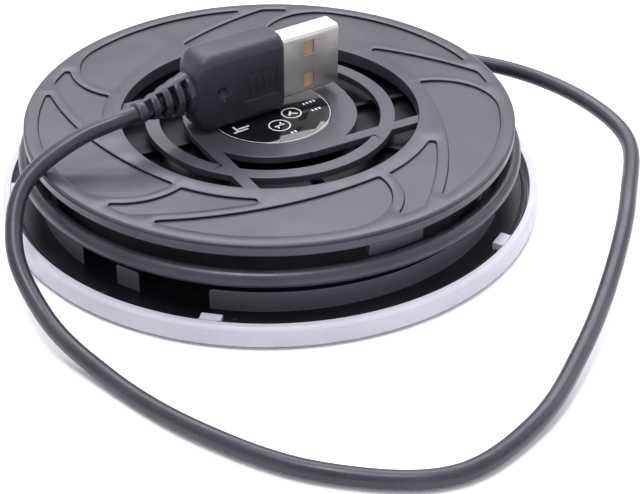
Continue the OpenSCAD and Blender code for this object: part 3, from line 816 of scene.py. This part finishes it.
# Insets from the label's radius, and heights.
LABEL_PROFILE = ((LABEL_R, 16.7), (0.04, 16.7), (0.04, 16.81), (0.08, 16.83), (LABEL_R, 16.83))
PRINT_Z = (16.825, 16.845)
PRINT_YAW = math.radians(34)
HOOP_SIDES = 64
HOOPS = (  # x, y, outer radius, width
    (0, 0, LABEL_R - 0.35, 0.1), (1.7, -4.8, 2.05, 0.24), (3.9, -0.3, 1.9, 0.24),
)
BARS = (  # x, y, length, width, angle to the print's own direction
    (1.7, -4.8, 2.0, 0.4, 0), (1.9, -4.2, 1.1, 0.3, 1.2), (1.5, -5.4, 1.1, 0.3, 1.2),
    (3.6, -0.5, 1.6, 0.36, 0.9), (4.4, -0.4, 1.2, 0.36, -0.6), (-5.2, -6.6, 3.0, 0.36, 0),
    (-4.8, -5.4, 2.4, 0.36, 0), (-6.2, -6.0, 1.9, 0.36, math.pi / 2),
)
DASH_ROWS = ((6.2, 3.0, 4), (7.8, 0.6, 3), (3.9, -7.4, 2))  # x, y, number of dashes
DASH_SIZE = (0.4, 0.62)
DASH_STEP = 0.75


def hoop(bm, x, y, outer, width):
    low, high = PRINT_Z
    old = set(bm.verts)
    profile = [(outer - width, low), (outer, low), (outer, high), (outer - width, high)]
    lathe(bm, profile, HOOP_SIDES)
    for v in bm.verts:
        if v not in old:
            v.co += Vector((x, y, 0)) * MM


def bar(bm, x, y, length, width, tilt=0.0):
    turn = PRINT_YAW + tilt
    a = Vector((math.cos(turn), math.sin(turn))) * length / 2
    b = Vector((-a.y, a.x)).normalized() * width / 2
    c = Vector((x, y))
    prism(bm, [c - a - b, c + a - b, c + a + b, c - a + b], *PRINT_Z)


def label():
    """Glossy film, printed with plain rings, bars and dashes."""
    bm = bmesh.new()
    lathe(bm, [(LABEL_R - inset, z) for inset, z in LABEL_PROFILE], LABEL_SIDES)
    film = dressed(as_object("label", bm), "label")
    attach(film, "hub")
    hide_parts("rating_label")
    bm = bmesh.new()
    for x, y, outer, width in HOOPS:
        hoop(bm, x, y, outer, width)
    for x, y, length, width, tilt in BARS:
        bar(bm, x, y, length, width, tilt)
    along = Vector((math.cos(PRINT_YAW), math.sin(PRINT_YAW)))
    for x, y, count in DASH_ROWS:
        for k in range(count):
            bar(bm, *(Vector((x, y)) + DASH_STEP * k * along), *DASH_SIZE)
    ink = dressed(as_object("label_print", bm), "ink")
    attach(ink, "hub")


label()


# ---- plug ----
# The plug is built lying along x, with its broad faces to -y and +y and x = 0 at the shell's root.

GRIP_LENGTH, GRIP_THICK, GRIP_WIDE = 19.0, 7.6, 15.1
GRIP_NEAR = -GRIP_THICK / 2
GRIP_FRONT = -0.6
GRIP_EDGE = 0.12
PLUG_YAW = math.radians(32)
PLUG_AXIS = Vector((math.cos(PLUG_YAW), math.sin(PLUG_YAW), 0))
PLUG_PLACE = (
    Matrix.Translation(FLEX + GRIP_LENGTH * MM * PLUG_AXIS) @ Matrix.Rotation(PLUG_YAW, 4, "Z"))
REAR_R = (2.2, 3.4)  # across its thickness, and across its width
REAR_DEPTHS = (0, 0.05, 0.15, 0.3, 0.5, 0.8, 1.2, 1.6, 2.1, 2.7, 3.4, 4.4)
MIDDLE_STEPS = 12
FRONT_R = 0.9
FRONT_SHARES = (1, 0.75, 0.5, 0.3, 0.15, 0.05, 0)
LONG_EDGE_R = 2.1
CORNER_ROOM = 0.05  # least flat left beside a corner where the grip's end narrows
GRIP_CORNER_STEPS = 10
MARK_X, MARK_Y, MARK_Z = (-9.5, -2.4), (GRIP_NEAR - 1, GRIP_NEAR + 0.22), (-3.1, 2.4)
MARK_BARS = 4
MARK_BAR_X = -8.1  # the first bar, then one each step
MARK_BAR_STEP = 1.45
MARK_BAR_W = 0.5
MARK_BAR_HALF = 1.9  # the first bar's, then less by each taper
MARK_BAR_TAPER = 0.28
MARK_BAR_DROP = 0.35
MARK_BAR_Y = (GRIP_NEAR + 0.05, GRIP_NEAR + 0.6)
DIMPLE = ((-13.9, GRIP_NEAR - 0.35, 0), 1.25, 32)  # place, radius, segments
BEAD = ((-13.7, GRIP_NEAR + 0.2, -1.75), 0.5, 24)
DIMPLE_PIP = ((-13.9, GRIP_NEAR + 0.75, 0), 0.32, 24)


def section(x, half_y, half_z, corner, steps):
    """Round-cornered rectangle across the plug's axis at x."""
    points = []
    for sy, sz, start in ((1, 1, 0), (-1, 1, 90), (-1, -1, 180), (1, -1, 270)):
        for k in range(steps + 1):
            turn = math.radians(start + 90 * k / steps)
            y = sy * (half_y - corner) + corner * math.cos(turn)
            z = sz * (half_z - corner) + corner * math.sin(turn)
            points.append(Vector((x, y, z)) * MM)
    return points


def quarter(depth, radius):
    """How far a round end stands in from the full size at this depth."""
    if depth >= radius:
        return 0.0
    return radius - math.sqrt(radius ** 2 - (radius - depth) ** 2)


def grip():
    """The plug's moulded grip, with a dimple and a recess that holds plain bars."""
    rear = [-GRIP_LENGTH + depth for depth in REAR_DEPTHS]
    front = [GRIP_FRONT - FRONT_R * share for share in FRONT_SHARES]
    gap = front[0] - rear[-1]
    middle = [rear[-1] + gap * k / MIDDLE_STEPS for k in range(1, MIDDLE_STEPS)]
    sections = []
    for x in rear + middle + front:
        back, ahead = x + GRIP_LENGTH, GRIP_FRONT - x
        half_y = GRIP_THICK / 2 - quarter(back, REAR_R[0]) - quarter(ahead, FRONT_R)
        half_z = GRIP_WIDE / 2 - quarter(back, REAR_R[1]) - quarter(ahead, FRONT_R)
        corner = min(LONG_EDGE_R, half_y - CORNER_ROOM)
        sections.append(section(x, half_y, half_z, corner, GRIP_CORNER_STEPS))
    bm = bmesh.new()
    loft(bm, sections)
    body = as_object("plug_grip", bm)
    bm = bmesh.new()
    block(bm, *MARK_X, *MARK_Y, *MARK_Z)
    ball(bm, *DIMPLE)
    combine(body, as_object("grip_cuts", bm), "DIFFERENCE")
    bm = bmesh.new()
    for k in range(MARK_BARS):
        x = MARK_BAR_X + MARK_BAR_STEP * k
        half = MARK_BAR_HALF - MARK_BAR_TAPER * k
        block(bm, x, x + MARK_BAR_W, *MARK_BAR_Y, -half - MARK_BAR_DROP, half - MARK_BAR_DROP)
    ball(bm, *BEAD)
    ball(bm, *DIMPLE_PIP)
    combine(body, as_object("grip_bars", bm), "UNION")
    dressed(round_edges(body, GRIP_EDGE, 2), "plug")
    body.data.transform(PLUG_PLACE)
    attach(body, "plug")
    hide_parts("plug_overmold")


TUBE_STOPS = (-5.9, 0.02, 11.8)
TUBE_OUTSIDE = (2.25, 6.0, 0.7)  # half thickness, half width, corner radius
TUBE_INSIDE = (1.95, 5.7, 0.4)
TUBE_CORNER_STEPS = 8
TUBE_EDGE = 0.05
LATCH_X = (4.3, 6.45)
LATCH_AT_Z = (-3.4, 3.1)
LATCH_HALF = 1.4
LATCH_REACH = 3
FOLD_X, FOLD_HALF, FOLD_Z = (-5, 11.5), 0.06, (-6.2, -5.5)


def plug_tube():
    """Folded metal shell with its two pairs of latch holes, whose cut edges show brass."""
    bm = bmesh.new()
    skins = []
    for skin in (TUBE_OUTSIDE, TUBE_INSIDE):
        skins.append([loop(bm, section(x, *skin, TUBE_CORNER_STEPS)) for x in TUBE_STOPS])
    outside, inside = skins
    for rings in skins:
        for first, second in zip(rings, rings[1:]):
            bridge(bm, first, second)
    bridge(bm, outside[0], inside[0])
    bridge(bm, outside[-1], inside[-1])
    tube = as_object("plug_tube", bm)
    tube.data.materials.append(MAT["nickel"])
    bm = bmesh.new()
    for z in LATCH_AT_Z:
        block(bm, *LATCH_X, -LATCH_REACH, LATCH_REACH, z - LATCH_HALF, z + LATCH_HALF)
    block(bm, *FOLD_X, -FOLD_HALF, FOLD_HALF, *FOLD_Z)
    holes = as_object("tube_holes", bm)
    holes.data.materials.append(MAT["brass"])
    combine(tube, holes, "DIFFERENCE", use_self=False, material_mode="TRANSFER")
    round_edges(tube, TUBE_EDGE, 2)
    tube.data.transform(PLUG_PLACE)
    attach(tube, "plug")
    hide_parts("plug_shell")


grip()
plug_tube()


# ---- cord ----

CORD_SIDES = 14  # of the CAD cord
MATCH_GAP = 0.001  # corners closer than this are one
LOOSE_SIDES = 32
WOUND_SIDES = 60
WOUND_STEPS = 150
SEAM_TURN = math.radians(26)
SEAM_SPREAD = math.radians(14)
SEAM_DEPTH = 0.3
LINE_STEP = 0.6
CURVE_STEPS = 2
RISE_LENGTH = 13
END_LENGTH = 6  # round the lift joint, where the CAD cord's end can reach behind it
END_GAP = 0.01
WOUND_LOW, WOUND_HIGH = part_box("wound_cord")
CORD_R = (WOUND_HIGH.z - WOUND_LOW.z) / 2  # in metres, as are the places below
WIND_Z = (WOUND_HIGH.z + WOUND_LOW.z) / 2
EXIT_DIR = (LIFT - SWING).normalized()
WIND_R = abs(SWING.x * -EXIT_DIR.y + SWING.y * EXIT_DIR.x)
EXIT_ANGLE = math.atan2(EXIT_DIR.x, -EXIT_DIR.y)
ENTRY_ANGLE = math.radians(18) + TURN
MID_LEAD = (SWING + LIFT) / 2


def cord_centres(node, start):
    """Centre line of a CAD cord, ring by ring, from the ring nearest to start."""
    mesh = NODES[node].data
    key = [tuple(round(c / (MATCH_GAP * MM)) for c in v.co) for v in mesh.vertices]
    places = {}
    near = {}
    for index, vertex in enumerate(mesh.vertices):
        places[key[index]] = vertex.co.copy()
        near.setdefault(key[index], set())
    for edge in mesh.edges:
        a, b = (key[i] for i in edge.vertices)
        near[a].add(b)
        near[b].add(a)
    layer = sorted(places, key=lambda k: (places[k] - start).length)[:CORD_SIDES]
    seen = set(layer)
    centres = []
    while layer:
        centres.append(sum((places[k] for k in layer), Vector()) / len(layer))
        layer = sorted({n for k in layer for n in near[k]} - seen)
        seen.update(layer)
    return centres


def sweep(name, path, sides=LOOSE_SIDES, seam=0.0):
    """Round cord along a path, with frames carried along it so that it never twists. A seam is a
    shallow groove along the side that faces out and up."""
    bm = bmesh.new()
    side = (path[1] - path[0]).normalized().cross(UP).normalized()
    rings = []
    for i, at in enumerate(path):
        ahead = path[min(i + 1, len(path) - 1)] - path[max(i - 1, 0)]
        ahead.normalize()
        side = (side - side.dot(ahead) * ahead).normalized()
        over = side.cross(ahead)
        ring = []
        for k in range(sides):
            turn = TURN * k / sides
            reach = CORD_R - seam * math.exp(-((turn - SEAM_TURN) / SEAM_SPREAD) ** 2)
            ring.append(at + reach * (math.cos(turn) * side + math.sin(turn) * over))
        rings.append(ring)
    loft(bm, rings)
    return dressed(as_object(name, bm), "cord")


def line(a, b):
    count = max(2, round((b - a).length / (LINE_STEP * MM)))
    return [a.lerp(b, i / count) for i in range(count + 1)]


def smooth_path(points):
    """Catmull-Rom curve through the points."""
    out = []
    last = len(points) - 1
    for i in range(last):
        p0, p1, p2, p3 = (points[max(0, min(last, i + k))] for k in (-1, 0, 1, 2))
        for k in range(CURVE_STEPS):
            t = k / CURVE_STEPS
            out.append(0.5 * (2 * p1 + (p2 - p0) * t + (2 * p0 - 5 * p1 + 4 * p2 - p3) * t ** 2
                              + (3 * p1 - p0 - 3 * p2 + p3) * t ** 3))
    return out + [points[-1]]


def on_drum(turn):
    return Vector((WIND_R * math.cos(turn), WIND_R * math.sin(turn), WIND_Z))


def bend(piece):
    """Bakes the piece's place into its mesh."""
    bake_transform(piece)


def loop_path():
    """The loose cord's centre line, without the CAD's round end behind the lift joint."""
    centres = cord_centres("loose_cord", LIFT - CORD_R * EXIT_DIR)

    def kept(p):
        ahead = (p - LIFT).dot(EXIT_DIR) > -END_GAP * MM
        return ahead or (p - LIFT).length > END_LENGTH * MM

    return smooth_path([p for p in centres if kept(p)])


def cord():
    """The turn on the spool, the straight lead with its two bends, and the loose loop."""
    span = EXIT_ANGLE - ENTRY_ANGLE
    turns = [on_drum(ENTRY_ANGLE + span * i / WOUND_STEPS) for i in range(WOUND_STEPS + 1)]
    wound = sweep("wound_turn", turns, WOUND_SIDES, SEAM_DEPTH * MM)
    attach(wound, "hub")
    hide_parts("wound_cord")
    root = sweep("cord_root", line(on_drum(EXIT_ANGLE), MID_LEAD))
    bend(root)
    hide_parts("cord_lead")
    count = next(i for i, p in enumerate(LOOP) if (p - LIFT).length > RISE_LENGTH * MM)
    rise = sweep("cord_rise", line(MID_LEAD, LOOP[0])[:-1] + LOOP[:count + 1])
    bend(rise)
    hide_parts("cord_lead")
    loose = sweep("cord_loop", LOOP[count:])
    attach(loose, "free_cord")
    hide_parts("loose_cord")


LOOP = loop_path()
cord()


# ---- strain relief ----

BOOT_STOPS = (  # share of the boot's length, half its thickness, half its height
    (0.0, 1.45, 1.45), (0.0, 1.8, 1.8), (0.02, 1.95, 1.95), (0.12, 2.0, 2.0), (0.145, 1.85, 1.85),
    (0.18, 1.9, 1.95), (0.3, 2.0, 2.25), (0.39, 2.1, 2.55), (0.5, 2.2, 2.9), (0.6, 2.35, 3.2),
    (0.75, 2.55, 3.6), (0.9, 2.8, 3.9), (1.0, 2.9, 4.1), (1.06, 2.9, 4.1),
)
BOOT_SIDES = 48
BOOT_EDGE = 0.12
BOOT_SHARP = math.radians(50)
CUT_N = 4
CUT_TURNS = (42, 138, 222, 318)
CUT_AT = 1.5  # from the plug, then one each step
CUT_STEP = 2.4
CUT_HALF = 0.6
CUT_R = (1.5, 8)
CUT_WIDE = 1.85  # half the first cut's width, then less by each taper
CUT_TAPER = 0.2
CORE_HALF, CORE_R = 5, 1.75  # the boot's core, near black at the bottom of the cuts as painted shade


def strain_relief():
    """Flared boot with four rows of slots, from the cord to the plug body."""
    end = LOOP[-1]
    axis = (FLEX - end).normalized()
    length = (FLEX - end).length / MM
    side = UP.cross(axis).normalized()
    over = axis.cross(side)
    bm = bmesh.new()
    sections = []
    for share, half_t, half_v in BOOT_STOPS:
        at = end + axis * share * length * MM
        turns = [TURN * k / BOOT_SIDES for k in range(BOOT_SIDES)]
        sections.append([
            at + side * half_t * MM * math.cos(turn) + over * half_v * MM * math.sin(turn)
            for turn in turns])
    loft(bm, sections)
    boot = as_object("strain_relief", bm)
    bm = bmesh.new()
    for k in range(CUT_N):
        x = length - CUT_AT - CUT_STEP * k
        wide = CUT_WIDE - CUT_TAPER * k
        for turn in CUT_TURNS:
            turned(bm, math.radians(turn),
                   lambda: block(bm, x - CUT_HALF, x + CUT_HALF, *CUT_R, -wide, wide), "X")
    cuts = as_object("boot_cuts", bm)
    cuts.data.transform(Matrix.Translation(end) @ Matrix((axis, side, over)).transposed().to_4x4())
    combine(boot, cuts, "DIFFERENCE")
    bake(round_edges(boot, BOOT_EDGE, 2))
    smooth(boot.data, BOOT_SHARP)
    dressed(boot, "cord")
    middle = (end + FLEX) / 2 / MM

    def in_core(at, _):
        along = (at - middle).dot(axis)
        return abs(along) < CORE_HALF and (at - middle - along * axis).length < CORE_R

    # Painted shade: the core at the bottom of the cuts is near black.
    tint_faces(boot, "painted_shade", in_core)
    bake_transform(boot)
    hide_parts("cord_boot")


strain_relief()


# ---- stage, light and camera ----
# Places and sizes here are in metres, and powers in watts.

FLOOR_GAP = 0.03 * MM
FLOOR_SIZE = 3
SUBJECT = (0, 0, 0.01)
LIGHTS = (  # name, place, size, power
    ("back_softbox", (0.05, 0.5, 0.66), (0.9, 0.5), 6.4),
    ("top_softbox", (-0.08, -0.12, 0.75), (0.26, 0.26), 3.2),
    ("side_strip", (0.6, 0.12, 0.3), (0.2, 0.5), 0.5),
)
WORLD_COLOUR = rgb(0.955, 0.95, 1.0)
LENS = 95.97
SENSOR_WIDTH = 36
CAMERA_ELEVATION = math.radians(29.11)
CAMERA_DISTANCE = 311.5 * MM
# Turns of the camera about its own axes, in radians, from looking at the flange's centre. They
# bring the loop into the frame.
CAMERA_YAW, CAMERA_PITCH, CAMERA_ROLL = -0.0281796, -0.0806560, 0.0131899


def floor():
    bm = bmesh.new()
    bmesh.ops.create_grid(bm, x_segments=1, y_segments=1, size=FLOOR_SIZE)
    piece = as_object("floor", bm)
    piece.location.z = -FLOOR_GAP
    material, g, where = new_material("floor_paper")
    fibre = g.noise(where, scale=900, detail=3)
    paper = g.mix(fibre, rgb(0.93, 0.93, 0.93), rgb(0.97, 0.97, 0.97))
    surface(g, Base_Color=paper, Roughness=0.9)
    piece.data.materials.append(material)


def area_light(name, at, size, power):
    data = bpy.data.lights.new(name, "AREA")
    data.shape = "RECTANGLE"
    data.size, data.size_y = size
    data.energy = power
    lamp = bpy.data.objects.new(name, data)
    lamp.location = at
    lamp.rotation_euler = (Vector(SUBJECT) - Vector(at)).to_track_quat("-Z", "Y").to_euler()
    bpy.context.scene.collection.objects.link(lamp)


def world():
    """Pale surroundings, a little brighter above and behind."""
    data = bpy.data.worlds.new("studio")
    bpy.context.scene.world = data
    data.use_nodes = True
    g = Graph(data.node_tree)
    way = g.add("ShaderNodeTexCoord")
    above = g.add("ShaderNodeSeparateXYZ", {"Vector": way}, output="Z")
    behind = g.add("ShaderNodeSeparateXYZ", {"Vector": way}, output="Y")
    glow = g.math("ADD", g.math("MULTIPLY", above, 0.6), g.math("MULTIPLY", behind, 0.3))
    level = g.fade(glow, low=-0.3, high=0.7, to_low=0.8, to_high=0.95)
    shader = g.add("ShaderNodeBackground", {"Color": WORLD_COLOUR, "Strength": level})
    g.end("ShaderNodeOutputWorld", shader)


def camera():
    """Looks down at the hub from the front."""
    data = bpy.data.cameras.new("camera")
    data.lens = LENS
    data.sensor_width = SENSOR_WIDTH
    back = Vector((0, -math.cos(CAMERA_ELEVATION), math.sin(CAMERA_ELEVATION)))
    view = Matrix.Rotation(math.pi / 2 - CAMERA_ELEVATION, 3, "X")
    for angle, axis in ((CAMERA_YAW, "Y"), (CAMERA_PITCH, "X"), (-CAMERA_ROLL, "Z")):
        view = view @ Matrix.Rotation(angle, 3, axis)
    item = bpy.data.objects.new("camera", data)
    item.location = Vector((0, 0, FLANGE_TOP)) + CAMERA_DISTANCE * back
    item.rotation_mode = "QUATERNION"
    item.rotation_quaternion = view.to_quaternion()
    bpy.context.scene.collection.objects.link(item)
    bpy.context.scene.camera = item


floor()
world()
for light in LIGHTS:
    area_light(*light)
camera()
bpy.context.scene.view_settings.view_transform = "Standard"
